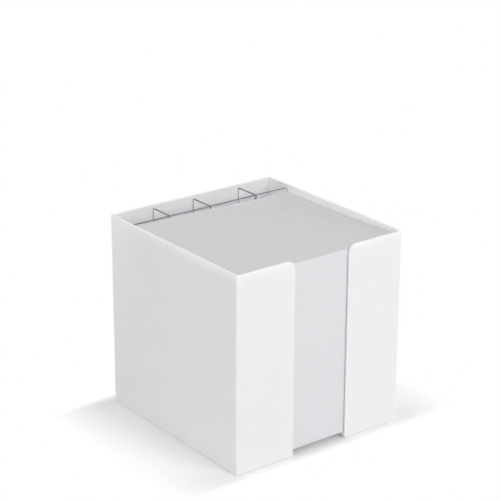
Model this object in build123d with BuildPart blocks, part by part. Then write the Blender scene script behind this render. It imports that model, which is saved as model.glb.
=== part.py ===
"""Open-topped memo box with a finger slot, a clear pen divider and loose note paper.

Frame: X is the width, Y the depth with the finger slot at -Y, Z is up. The origin is
the centre of the footprint, on the surface that the box stands on. All sizes are in mm.
"""
import os

from build123d import *

# ---------------------------------------------------------------- driving dimensions
# Note paper: a full block of loose sheets of one cut format.
sheet_width = 98.0
sheet_depth = 86.0
sheet_thickness = 0.1
paper_below_rim = 2.8
loose_sheet_names = ("memo_sheet_third", "memo_sheet_second", "memo_sheet_top")

# Holder box: one thin-walled moulding, open at the top. Its inner corners are nearly sharp,
# so that square-cut sheets lie in them.
box_height = 102.0
wall = 1.2
corner_radius = 1.5
well_corner_radius = 0.2
edge_round = 0.35
foot_round = 0.4
skirt_height = 1.2
floor_thickness = 1.8

# Finger slot: the gap in the front wall, carried on into the floor as a notch.
slot_width = 33.0
slot_mouth_radius = 4.5
notch_depth = 6.5
notch_corner_radius = 1.0

# Pen divider: one clear moulding that drops in behind the paper.
divider_drop = 1.5
divider_wall = 1.3
divider_corner_radius = 1.2
divider_edge_round = 0.2
fin_root_radius = 0.4
fin_thickness = 1.2
first_cell_widths = (23.2, 23.6, 28.0)
cell_depth = 14.6
cell_height = 50.0
shelf_thickness = 1.5

# Clearances between pieces that only stand or lie beside each other.
paper_side_clearance = 0.3
paper_front_clearance = 0.5
paper_back_clearance = 0.2
divider_side_clearance = 0.2
divider_back_clearance = 0.8

# ------------------------------------------------------------------- derived places
# The well is as wide as the paper, and as deep as the paper, the divider and a cell.
well_width = sheet_width + 2 * paper_side_clearance
paper_bay_depth = paper_front_clearance + sheet_depth + paper_back_clearance
well_depth = paper_bay_depth + divider_wall + cell_depth
box_width = well_width + 2 * wall
box_depth = well_depth + 2 * wall
floor_top = skirt_height + floor_thickness
front_y = -box_depth / 2
well_left_x = -well_width / 2
well_back_y = well_depth / 2

divider_top = box_height - divider_drop
divider_height = divider_top - floor_top
divider_width = well_width - 2 * divider_side_clearance
divider_front_y = front_y + wall + paper_bay_depth
fin_front_y = divider_front_y + divider_wall
fin_back_y = well_back_y - divider_back_clearance
shelf_underside = divider_top - cell_height - shelf_thickness

paper_front_y = front_y + wall + paper_front_clearance
paper_height = box_height - paper_below_rim - floor_top
block_height = paper_height - len(loose_sheet_names) * sheet_thickness

# Each fin stands where the clear width of the cells before it ends.
fin_lefts_x = []
cell_left_x = well_left_x
for cell_width in first_cell_widths:
    fin_lefts_x.append(cell_left_x + cell_width)
    cell_left_x += cell_width + fin_thickness

os.makedirs("parts", exist_ok=True)


def save(piece, name):
    """Label a finished piece and write it under its own name."""
    piece.part.label = name
    export_step(piece.part, f"parts/{name}.step")


def upright_plan(height=0.0):
    """The plane of a plan view at a height above the table."""
    return Plane.XY.offset(height)


# --------------------------------------------------------------------- holder box
with BuildPart() as holder_box:
    # Outer block with its four rounded upright corners.
    with BuildSketch(upright_plan()):
        RectangleRounded(box_width, box_depth, corner_radius)
    extrude(amount=box_height)

    # The well that takes the paper and the divider.
    with BuildSketch(upright_plan(floor_top)):
        RectangleRounded(well_width, well_depth, well_corner_radius)
    extrude(amount=box_height - floor_top, mode=Mode.SUBTRACT)

    # Finger slot through the front wall and notch in the floor, in one cut.
    with BuildSketch(upright_plan()):
        with Locations((0, front_y)):
            Rectangle(slot_width, 2 * notch_depth)
        fillet(vertices().group_by(Axis.Y)[-1], radius=notch_corner_radius)
    extrude(amount=box_height, mode=Mode.SUBTRACT)

    # Shallow recess underneath: the box stands on a skirt that follows the outline.
    with BuildSketch(upright_plan()):
        RectangleRounded(box_width, box_depth, corner_radius)
        with Locations((0, front_y)):
            Rectangle(slot_width, 2 * notch_depth, mode=Mode.SUBTRACT)
        offset(amount=-wall, kind=Kind.INTERSECTION)
    extrude(amount=skirt_height, mode=Mode.SUBTRACT)

    # The slot opens out in a quarter round at each side of its mouth.
    mouth_corners = (
        edges()
        .filter_by(Axis.Y)
        .group_by(Axis.Z)[-1]
        .filter_by_position(Axis.X, -slot_width / 2, slot_width / 2)
    )
    fillet(mouth_corners, radius=slot_mouth_radius)

    # The rim, the mouth and the upright edges of the slot are softened together.
    front_wall_edges = edges().filter_by_position(Axis.Y, front_y, front_y + wall)
    slot_edges = front_wall_edges.filter_by(
        lambda edge: abs(abs(edge.center().X) - slot_width / 2) <= slot_mouth_radius
        and edge.length > wall + edge_round
    )
    rim_edges = faces().sort_by(Axis.Z)[-1].edges()
    fillet(rim_edges + slot_edges, radius=edge_round)

    # The foot of the skirt is rounded all along its outline.
    foot_edges = faces().sort_by(Axis.Z)[0].outer_wire().edges()
    fillet(foot_edges, radius=foot_round)

save(holder_box, "holder_box")

# -------------------------------------------------------------------- pen divider
with BuildPart() as pen_divider:
    # Upright wall between the paper and the pens.
    with BuildSketch(upright_plan(floor_top)):
        with Locations((0, divider_front_y)):
            Rectangle(divider_width, divider_wall, align=(Align.CENTER, Align.MIN))
        # Upright fins behind it part the space into four pen cells.
        with Locations([(fin_left_x, fin_front_y) for fin_left_x in fin_lefts_x]):
            Rectangle(fin_thickness, fin_back_y - fin_front_y, align=Align.MIN)
    extrude(amount=divider_height)

    # Shelf across the fins, which the pens stand on.
    with BuildSketch(upright_plan(shelf_underside)):
        with Locations((0, fin_front_y)):
            Rectangle(
                divider_width, fin_back_y - fin_front_y, align=(Align.CENTER, Align.MIN)
            )
    extrude(amount=shelf_thickness)

    # The wall's two upper corners are rounded.
    wall_ends = faces().filter_by(Axis.X).group_by(Axis.X)
    upper_corners = [
        ends.edges().filter_by(Axis.Y).sort_by(Axis.Z)[-1]
        for ends in (wall_ends[0], wall_ends[-1])
    ]
    fillet(upper_corners, radius=divider_corner_radius)

    # The fins run into the wall with small root fillets, above the shelf.
    root_edges = (
        edges()
        .filter_by(Axis.Z)
        .filter_by_position(Axis.Y, divider_front_y + divider_wall / 2, fin_front_y + fin_root_radius)
        .filter_by_position(Axis.X, -divider_width / 2 + fin_thickness, divider_width / 2 - fin_thickness)
        .filter_by_position(Axis.Z, shelf_underside + shelf_thickness, divider_top)
    )
    fillet(root_edges, radius=fin_root_radius)

    # The top of the wall and of the fins is softened all round.
    fillet(faces().sort_by(Axis.Z)[-1].edges(), radius=divider_edge_round)

save(pen_divider, "pen_divider")

# --------------------------------------------------------------------- note paper
with BuildPart() as memo_block:
    with BuildSketch(upright_plan(floor_top)):
        with Locations((0, paper_front_y)):
            Rectangle(sheet_width, sheet_depth, align=(Align.CENTER, Align.MIN))
    extrude(amount=block_height)

save(memo_block, "memo_block")

# The uppermost sheets are loose pieces of their own, listed from the lowest up.
for place, name in enumerate(loose_sheet_names):
    sheet_underside = floor_top + block_height + place * sheet_thickness
    with BuildPart() as memo_sheet:
        with BuildSketch(upright_plan(sheet_underside)):
            with Locations((0, paper_front_y)):
                Rectangle(sheet_width, sheet_depth, align=(Align.CENTER, Align.MIN))
        extrude(amount=sheet_thickness)
    save(memo_sheet, name)
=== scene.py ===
"""Looks of an open-topped memo box: white satin plastic, a clear pen divider and loose note paper.

Everything is in metres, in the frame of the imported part: X is the width, Y the depth with
the finger slot at -Y, Z is up from the surface that the box stands on.
"""

import math
import random

import bmesh
import bpy
from mathutils import Matrix, Vector


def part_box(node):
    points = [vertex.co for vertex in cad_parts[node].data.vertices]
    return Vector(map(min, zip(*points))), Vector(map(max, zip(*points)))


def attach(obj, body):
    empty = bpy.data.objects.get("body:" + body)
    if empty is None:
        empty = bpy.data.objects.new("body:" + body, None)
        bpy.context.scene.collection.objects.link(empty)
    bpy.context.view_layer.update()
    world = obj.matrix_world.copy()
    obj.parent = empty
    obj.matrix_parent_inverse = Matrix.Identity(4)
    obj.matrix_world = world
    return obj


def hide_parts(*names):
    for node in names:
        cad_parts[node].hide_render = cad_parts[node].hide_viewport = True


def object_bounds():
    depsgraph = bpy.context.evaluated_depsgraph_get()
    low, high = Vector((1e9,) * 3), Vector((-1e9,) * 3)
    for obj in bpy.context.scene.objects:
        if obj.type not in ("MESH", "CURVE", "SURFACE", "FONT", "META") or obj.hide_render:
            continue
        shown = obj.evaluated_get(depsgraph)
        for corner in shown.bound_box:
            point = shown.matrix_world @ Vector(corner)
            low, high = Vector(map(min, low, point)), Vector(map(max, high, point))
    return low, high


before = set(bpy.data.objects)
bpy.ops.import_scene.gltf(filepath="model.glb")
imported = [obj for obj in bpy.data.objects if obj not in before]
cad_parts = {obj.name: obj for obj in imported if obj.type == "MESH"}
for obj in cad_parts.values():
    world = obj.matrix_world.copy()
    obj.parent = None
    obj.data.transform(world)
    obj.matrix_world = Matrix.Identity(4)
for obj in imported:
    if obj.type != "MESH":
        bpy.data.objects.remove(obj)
cad_low, cad_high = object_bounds()

MM = 0.001

# ------------------------------------------------------------------------- camera
image_side_px = 500
focal_length_px = 1764.6
sensor_width_mm = 36.0
camera_azimuth = math.radians(-37.60)
camera_elevation = math.radians(20.69)
camera_roll = math.radians(0.28)
camera_distance = 885.9 * MM
nearest_seen = 10.0 * MM
furthest_seen = 20.0
# The camera and the lamps aim at this point. The camera then stands aside, so that the point is
# seen this far to the right of the middle of the picture, and this far above it.
aim_point = Vector((0.0, 0.0, 50.5 * MM))
aim_right = 2.13 * MM
aim_up = -34.57 * MM

# ------------------------------------------------------------------------- studio
# Each soft box has its name, its azimuth and elevation in degrees, and its level: what it adds
# to the brightness of a white surface that faces it.
soft_boxes = (
    ("top_soft_box", 0, 89, 0.16),
    ("left_soft_box", -90, 30, 0.28),
    ("front_soft_box", 10, 30, 0.46),
    ("low_soft_box", -20, 6, 0.05),
    ("right_soft_box", 95, 6, 0.42),
    ("back_soft_box", 175, 6, 0.36),
)
soft_box_side = 0.8
soft_box_distance = 1.2
world_level = 0.28

# The floor fades from its own shaded colour to white between these distances from the box's
# foot, and in front of the box and behind it that many times sooner.
floor_half_side = 3.0
floor_fade_near = 8.0 * MM
floor_fade_far = 36.0 * MM
floor_fade_sooner = 6.0

# ------------------------------------------------------------------------ colours
# A pair of colours is the range that a material wanders in.
white_plastic_tones = ((0.892, 0.890, 0.908), (0.914, 0.912, 0.930))
clear_plastic_tones = ((0.955, 0.968, 0.975), (0.985, 0.990, 0.992))
clear_plastic_shadow = (0.93, 0.94, 0.94)
# The paper's faces are painted darker than its cut edges: painted shade for the dimmer light from
# above.
paper_face_tones_with_painted_shade = ((0.700, 0.698, 0.717), (0.720, 0.718, 0.737))
# The cut edges are greyed with painted shade between the sheets.
paper_edge_tones_with_sheet_gap_shade = ((0.760, 0.757, 0.779), (0.788, 0.785, 0.806))
floor_colour = (0.950, 0.930, 0.938)
white = (1.0, 1.0, 1.0)

# --------------------------------------------------------------------- note paper
# The loose sheets on top, from the lowest up: node, body, and how far each lies off its place.
loose_sheets = (
    ("memo_sheet_third", "third_sheet", (0.14 * MM, -0.14 * MM)),
    ("memo_sheet_second", "second_sheet", (0.20 * MM, -0.24 * MM)),
    ("memo_sheet_top", "top_sheet", (0.24 * MM, -0.18 * MM)),
)
# The loose paper has curled: its front and back turn up, and it leans and twists a little. The
# block takes this on bit by bit over the depth below its top.
curl_turn_up = 0.90 * MM
curl_dip = 0.58 * MM
curl_lean_right = 0.55 * MM
curl_lean_back = 0.28 * MM
curl_twist = 0.60 * MM
curl_depth = 12.0 * MM
# The sheets of the block drift to the sides and in depth, in waves of a period in sheets and a
# phase, and each is off by a jitter of its own. The whole block has slid forward.
drift_side = 0.10 * MM
drift_depth = 0.06 * MM
drift_waves = ((61.0, 0.3), (23.0, 1.7), (9.7, 4.1))
sheet_jitter = 0.018 * MM
slid_forward = 0.25 * MM
weld_distance = 0.001 * MM

# Places on a sheet are (column, row) steps from its front left corner.
sheet_steps = 16
sheet_corners = [(0, 0), (sheet_steps, 0), (sheet_steps, sheet_steps), (0, sheet_steps)]
sheet_outline = [
    tuple(start + (end - start) * step // sheet_steps for start, end in zip(corner, next_corner))
    for corner, next_corner in zip(sheet_corners, sheet_corners[1:] + sheet_corners[:1])
    for step in range(sheet_steps)
]
sheet_places = [
    (column, row) for column in range(sheet_steps + 1) for row in range(sheet_steps + 1)
]


# ------------------------------------------------------------------- shader nodes
def add_node(tree, kind, place, **values):
    """Adds a shader node; values are attributes of it or default values of its inputs."""
    node = tree.nodes.new(kind)
    node.location = place
    for name, value in values.items():
        if hasattr(node, name):
            setattr(node, name, value)
        else:
            node.inputs[name].default_value = value
    return node


def new_material(name):
    """A material with its node tree and its shader."""
    material = bpy.data.materials.new(name)
    material.use_nodes = True
    return material, material.node_tree, material.node_tree.nodes["Principled BSDF"]


def piece_coordinates(tree, place):
    """The piece's own coordinates."""
    return add_node(tree, "ShaderNodeTexCoord", place).outputs["Object"]


def noise(tree, coordinates, place, scale, detail, roughness=0.5):
    """Noise from coordinates; scale is in cells per metre."""
    node = add_node(
        tree, "ShaderNodeTexNoise", place, Scale=scale, Detail=detail, Roughness=roughness
    )
    tree.links.new(coordinates, node.inputs["Vector"])
    return node.outputs["Fac"]


def spread(tree, value, place, low=0.0, high=1.0, from_low=0.3, from_high=0.7):
    """Maps a value onto the range from low to high; most noise lies between 0.3 and 0.7."""
    node = add_node(tree, "ShaderNodeMapRange", place)
    node.inputs["From Min"].default_value = from_low
    node.inputs["From Max"].default_value = from_high
    node.inputs["To Min"].default_value = low
    node.inputs["To Max"].default_value = high
    tree.links.new(value, node.inputs["Value"])
    return node.outputs["Result"]


def calculate(tree, operation, place, *values):
    """A number worked out from one or two others."""
    node = add_node(tree, "ShaderNodeMath", place, operation=operation)
    for socket, value in zip(node.inputs, values):
        tree.links.new(value, socket)
    return node.outputs["Value"]


def blend_colours(tree, factor, place, first, second):
    """Mixes two colours by a factor; each is written out or comes from a node."""
    node = add_node(tree, "ShaderNodeMix", place, data_type="RGBA")
    for name, colour in (("A", first), ("B", second)):
        if isinstance(colour, tuple):
            node.inputs[name].default_value = (*colour, 1.0)
        else:
            tree.links.new(colour, node.inputs[name])
    tree.links.new(factor, node.inputs["Factor"])
    return node.outputs["Result"]


def relief(tree, height, place, strength, distance, under=None):
    """A bump from a height value, over the bump before it if there is one."""
    node = add_node(tree, "ShaderNodeBump", place, Strength=strength, Distance=distance)
    tree.links.new(height, node.inputs["Height"])
    if under is not None:
        tree.links.new(under, node.inputs["Normal"])
    return node.outputs["Normal"]


def blend_surfaces(tree, factor, place, first, second):
    """Makes the material's surface a mix of two shaders by a factor."""
    node = add_node(tree, "ShaderNodeMixShader", place)
    tree.links.new(factor, node.inputs["Fac"])
    tree.links.new(first, node.inputs[1])
    tree.links.new(second, node.inputs[2])
    tree.links.new(node.outputs["Shader"], tree.nodes["Material Output"].inputs["Surface"])


# ---------------------------------------------------------------------- materials
def white_plastic():
    """Satin white polystyrene: a fine moulded grain, and a faint unevenness of tone and surface."""
    material, tree, shader = new_material("white_plastic")
    shader.inputs["IOR"].default_value = 1.55
    shader.inputs["Specular IOR Level"].default_value = 0.20
    shader.inputs["Subsurface Weight"].default_value = 1.0
    shader.inputs["Subsurface Radius"].default_value = (1.0, 1.0, 1.0)
    shader.inputs["Subsurface Scale"].default_value = 1.3 * MM

    coordinates = piece_coordinates(tree, (-1300, 0))
    grain = noise(tree, coordinates, (-1000, 300), scale=5200.0, detail=3.0)
    flow = noise(tree, coordinates, (-1000, 0), scale=38.0, detail=3.0)
    sink = noise(tree, coordinates, (-1000, -300), scale=16.0, detail=1.0)
    wander = spread(tree, flow, (-760, 60))
    tone = blend_colours(tree, wander, (-520, 200), *white_plastic_tones)
    satin = spread(tree, grain, (-760, 320), low=0.50, high=0.64)
    waves = relief(tree, sink, (-520, -300), strength=0.25, distance=0.15 * MM)
    surface = relief(
        tree, grain, (-260, -200), strength=0.12, distance=0.02 * MM, under=waves
    )
    tree.links.new(tone, shader.inputs["Base Color"])
    tree.links.new(satin, shader.inputs["Roughness"])
    tree.links.new(surface, shader.inputs["Normal"])
    return material


def clear_plastic():
    """Clear polystyrene, polished, with the faint draw marks of its mould. It lets light through."""
    material, tree, shader = new_material("clear_plastic")
    shader.inputs["Transmission Weight"].default_value = 1.0
    shader.inputs["IOR"].default_value = 1.59

    coordinates = piece_coordinates(tree, (-1300, 0))
    haze = noise(tree, coordinates, (-1000, 200), scale=90.0, detail=3.0)
    flow = noise(tree, coordinates, (-1000, -200), scale=24.0, detail=1.0)
    wander = spread(tree, haze, (-760, 240))
    tone = blend_colours(tree, wander, (-520, 240), *clear_plastic_tones)
    polish = spread(tree, haze, (-760, 0), low=0.015, high=0.05)
    surface = relief(tree, flow, (-520, -200), strength=0.2, distance=0.05 * MM)
    tree.links.new(tone, shader.inputs["Base Color"])
    tree.links.new(polish, shader.inputs["Roughness"])
    tree.links.new(surface, shader.inputs["Normal"])

    # To the lamps it is a pale filter, so that what stands behind it isn't left dark.
    path = add_node(tree, "ShaderNodeLightPath", (100, 400))
    through = add_node(
        tree, "ShaderNodeBsdfTransparent", (100, -200), Color=(*clear_plastic_shadow, 1.0)
    )
    blend_surfaces(
        tree, path.outputs["Is Shadow Ray"], (300, 0),
        shader.outputs["BSDF"], through.outputs["BSDF"],
    )
    return material


def note_paper():
    """Uncoated white paper: soft fibres and a faint cloudiness on the sheet. The faces of the sheets
    are painted darker than the cut edges, as painted shade for the dimmer light from above, and
    the cut edges have fine darker lines, painted shade between the sheets."""
    material, tree, shader = new_material("note_paper")
    shader.inputs["IOR"].default_value = 1.45

    coordinates = piece_coordinates(tree, (-1500, 0))
    fibres = noise(
        tree, coordinates, (-1000, 300), scale=1900.0, detail=4.0, roughness=0.65
    )
    cloud = noise(tree, coordinates, (-1000, 0), scale=140.0, detail=3.0)
    face_wander = spread(tree, cloud, (-760, 60))
    face = blend_colours(tree, face_wander, (-520, 200), *paper_face_tones_with_painted_shade)

    # The noise of the cut edges is drawn out sideways into lines, darker and paler: painted shade
    # between the sheets.
    drawn_out = add_node(tree, "ShaderNodeMapping", (-1250, -300), Scale=(0.02, 0.02, 1.0))
    tree.links.new(coordinates, drawn_out.inputs["Vector"])
    lines = noise(
        tree, drawn_out.outputs["Vector"], (-1000, -300), scale=6000.0, detail=2.0
    )
    painted_sheet_gap_shade = spread(tree, lines, (-760, -200))
    edge = blend_colours(tree, painted_sheet_gap_shade, (-520, -100), *paper_edge_tones_with_sheet_gap_shade)

    # What looks up or down is the face of a sheet, and what looks sideways is a cut edge. The faces
    # get the darker tones: painted shade for the dimmer light from above.
    normal_for_painted_face_shade = add_node(tree, "ShaderNodeNewGeometry", (-1500, -600))
    parts = add_node(tree, "ShaderNodeSeparateXYZ", (-1250, -600))
    tree.links.new(normal_for_painted_face_shade.outputs["True Normal"], parts.inputs["Vector"])
    level = calculate(tree, "ABSOLUTE", (-1000, -600), parts.outputs["Z"])
    tone = blend_colours(tree, spread(tree, level, (-760, -500)), (-280, 200), edge, face)

    matt = spread(tree, fibres, (-760, 400), low=0.78, high=0.95)
    surface = relief(tree, fibres, (-280, -200), strength=0.3, distance=0.02 * MM)
    tree.links.new(tone, shader.inputs["Base Color"])
    tree.links.new(matt, shader.inputs["Roughness"])
    tree.links.new(surface, shader.inputs["Normal"])
    return material


def dress(obj, material):
    """Gives a piece one material in place of what it came with."""
    obj.data.materials.clear()
    obj.data.materials.append(material)


def mesh_piece(name, mesh, material):
    """A new object from a finished mesh."""
    data = bpy.data.meshes.new(name)
    mesh.to_mesh(data)
    mesh.free()
    obj = bpy.data.objects.new(name, data)
    bpy.context.scene.collection.objects.link(obj)
    dress(obj, material)
    return obj


# ------------------------------------------------------------------- paper pieces
def curl(x, y):
    """How far the curled paper stands above its flat height at a place."""
    low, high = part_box("memo_sheet_top")
    across = (2 * x - low.x - high.x) / (high.x - low.x)
    along = (2 * y - low.y - high.y) / (high.y - low.y)
    bow = curl_turn_up * along**2 - curl_dip
    return bow - curl_lean_right * across - curl_lean_back * along - curl_twist * across * along


def curl_share(depth):
    """How much of the curl the block's paper has at a depth below its top."""
    return max(0.0, 1.0 - depth / curl_depth) ** 2


def drift(wave, sheet, phase_factor=1):
    """The mean of the block's drift waves at a sheet, from -1 to 1."""
    heights = [wave(sheet / period + phase_factor * phase) for period, phase in drift_waves]
    return sum(heights) / len(heights)


def sheet_points(mesh, places, shift, height, curled=1.0):
    """Points of a sheet at a height, by place: shifted off the block, and curled by a share."""
    low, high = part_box("memo_block")
    points = {}
    for column, row in places:
        x = low.x + (high.x - low.x) * column / sheet_steps + shift[0]
        y = low.y + (high.y - low.y) * row / sheet_steps + shift[1]
        points[column, row] = mesh.verts.new((x, y, height + curled * curl(x, y)))
    return points


def join_outlines(mesh, path, lower, upper):
    """The faces between two outlines, one above the other."""
    for start, end in zip(path, path[1:] + path[:1]):
        mesh.faces.new((lower[start], lower[end], upper[end], upper[start]))


def cover(mesh, points, upward=True):
    """The face of a sheet, as a grid."""
    for column in range(sheet_steps):
        for row in range(sheet_steps):
            ring = ((column, row), (column + 1, row), (column + 1, row + 1), (column, row + 1))
            corners = [points[place] for place in ring]
            mesh.faces.new(corners if upward else corners[::-1])


def paper_stack(material):
    """The block as its separate sheets: each lies a hair off the one below, in drifts as loose
    paper does, and the uppermost ones take on the curl of the loose sheets bit by bit."""
    low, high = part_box("memo_block")
    sheet_low, sheet_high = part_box("memo_sheet_top")
    sheet_count = round((high.z - low.z) / (sheet_high.z - sheet_low.z))
    thickness = (high.z - low.z) / sheet_count
    third_sheet_shift = loose_sheets[0][2]
    order = random.Random(7)
    mesh = bmesh.new()
    below = None
    for sheet in range(sheet_count):
        curled = curl_share((sheet_count - sheet) * thickness)
        side = drift_side * drift(math.sin, sheet) * (1.0 - curled) + third_sheet_shift[0] * curled
        depth = drift_depth * drift(math.cos, sheet, phase_factor=2) - slid_forward
        shift = (
            side + order.uniform(-sheet_jitter, sheet_jitter),
            depth + order.uniform(-sheet_jitter, sheet_jitter),
        )
        path = sheet_outline if curled else sheet_corners
        for level in (sheet, sheet + 1):
            share = curl_share((sheet_count - level) * thickness)
            ring = sheet_points(mesh, path, shift, low.z + thickness * level, share)
            if below is not None and len(below) == len(ring):
                join_outlines(mesh, path, below, ring)
            else:
                # The flat sheets are closed off where the curled ones, of more points, start.
                if below is not None:
                    mesh.faces.new([below[place] for place in sheet_corners])
                mesh.faces.new([ring[place] for place in reversed(path)])
            below = ring
    top = sheet_points(mesh, sheet_places, shift, high.z)
    cover(mesh, top)
    rim = list(top.values()) + list(below.values())
    bmesh.ops.remove_doubles(mesh, verts=rim, dist=weld_distance)
    stack = mesh_piece("paper_stack", mesh, material)
    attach(stack, "paper_block")
    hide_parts("memo_block")


def loose_sheet(node, body, shift, material):
    """One of the uppermost sheets, curled."""
    low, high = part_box(node)
    mesh = bmesh.new()
    lower = sheet_points(mesh, sheet_places, shift, low.z)
    upper = sheet_points(mesh, sheet_places, shift, high.z)
    cover(mesh, lower, upward=False)
    cover(mesh, upper)
    join_outlines(mesh, sheet_outline, lower, upper)
    sheet = mesh_piece(f"{body}_curled", mesh, material)
    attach(sheet, body)
    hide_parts(node)


# -------------------------------------------------------------- lamps and backdrop
def direction(azimuth, elevation):
    """The way from the object to a lamp or the camera; azimuth 0 is in front of the slot."""
    return Vector((
        math.sin(azimuth) * math.cos(elevation),
        -math.cos(azimuth) * math.cos(elevation),
        math.sin(elevation),
    ))


def soft_box(name, azimuth, elevation, level):
    """A square lamp that faces the object, from an azimuth and an elevation in degrees."""
    lamp = bpy.data.lights.new(name, "AREA")
    lamp.shape = "SQUARE"
    lamp.size = soft_box_side
    lamp.energy = level * math.pi**2 * soft_box_distance**2
    obj = bpy.data.objects.new(name, lamp)
    bpy.context.scene.collection.objects.link(obj)
    away = direction(math.radians(azimuth), math.radians(elevation))
    obj.location = aim_point + away * soft_box_distance
    obj.rotation_euler = away.to_track_quat("Z", "Y").to_euler()


def looked_at(tree, place):
    """1 where the camera, or a mirror or clear piece before it, looks at the studio, and 0 where
    the studio gives its light."""
    path = add_node(tree, "ShaderNodeLightPath", place)
    seen = path.outputs["Is Camera Ray"]
    for step, ray in enumerate(("Is Glossy Ray", "Is Transmission Ray"), start=1):
        spot = (place[0] + 200 * step, place[1])
        seen = calculate(tree, "MAXIMUM", spot, seen, path.outputs[ray])
    return seen


def studio_world():
    """White where it is looked at, and a plain grey level as light."""
    world = bpy.data.worlds.new("studio")
    world.use_nodes = True
    bpy.context.scene.world = world
    tree = world.node_tree
    background = tree.nodes["Background"]
    background.inputs["Color"].default_value = (*white, 1.0)
    strength = spread(
        tree, looked_at(tree, (-900, 0)), (-300, 0),
        low=world_level, high=1.0, from_low=0.0, from_high=1.0,
    )
    tree.links.new(strength, background.inputs["Strength"])


def beyond_foot(tree):
    """How far a place on the floor lies beyond the box's foot, with the depth counted up."""
    reach = piece_coordinates(tree, (-1700, 300))
    steps = (
        ("ABSOLUTE", None),
        ("SUBTRACT", (cad_high.x, cad_high.y, 0.0)),
        ("MAXIMUM", (0.0, 0.0, 0.0)),
        ("MULTIPLY", (1.0, floor_fade_sooner, 1.0)),
        ("LENGTH", None),
    )
    for step, (operation, amount) in enumerate(steps):
        place = (-1500 + 200 * step, 300)
        node = add_node(tree, "ShaderNodeVectorMath", place, operation=operation)
        if amount is not None:
            node.inputs[1].default_value = amount
        tree.links.new(reach, node.inputs[0])
        reach = node.outputs["Value" if operation == "LENGTH" else "Vector"]
    return reach


def studio_floor():
    """A wide pale floor that keeps the object's shadow close to it, and is white further off."""
    material, tree, shader = new_material("pale_floor")
    shader.inputs["Base Color"].default_value = (*floor_colour, 1.0)
    shader.inputs["Roughness"].default_value = 0.9
    shader.inputs["Specular IOR Level"].default_value = 0.0
    outward = spread(
        tree, beyond_foot(tree), (-500, 300), from_low=floor_fade_near, from_high=floor_fade_far
    )
    fade = calculate(tree, "MULTIPLY", (-300, 300), outward, looked_at(tree, (-900, -300)))
    glow = add_node(tree, "ShaderNodeEmission", (420, -300), Color=(*white, 1.0))
    blend_surfaces(tree, fade, (640, 0), shader.outputs["BSDF"], glow.outputs["Emission"])

    mesh = bmesh.new()
    half = floor_half_side
    corners = ((-half, -half), (half, -half), (half, half), (-half, half))
    mesh.faces.new([mesh.verts.new((x, y, 0.0)) for x, y in corners])
    mesh_piece("studio_floor", mesh, material)


def camera():
    """The photograph's camera."""
    back = direction(camera_azimuth, camera_elevation)
    level_right = Vector((math.cos(camera_azimuth), math.sin(camera_azimuth), 0.0))
    level_up = back.cross(level_right)
    right = level_right * math.cos(camera_roll) + level_up * math.sin(camera_roll)
    up = back.cross(right)
    data = bpy.data.cameras.new("camera")
    data.sensor_width = sensor_width_mm
    data.lens = sensor_width_mm * focal_length_px / image_side_px
    data.clip_start = nearest_seen
    data.clip_end = furthest_seen
    obj = bpy.data.objects.new("camera", data)
    bpy.context.scene.collection.objects.link(obj)
    place = aim_point - right * aim_right - up * aim_up + back * camera_distance
    axes = Matrix((right, up, back)).transposed().to_4x4()
    obj.matrix_world = Matrix.Translation(place) @ axes
    bpy.context.scene.camera = obj


# -------------------------------------------------------------------------- scene
camera()
paper = note_paper()
dress(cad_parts["holder_box"], white_plastic())
dress(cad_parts["pen_divider"], clear_plastic())
paper_stack(paper)
for node, body, shift in loose_sheets:
    loose_sheet(node, body, shift, paper)

studio_world()
studio_floor()
for name, azimuth, elevation, level in soft_boxes:
    soft_box(name, azimuth, elevation, level)
bpy.context.scene.view_settings.view_transform = "Standard"
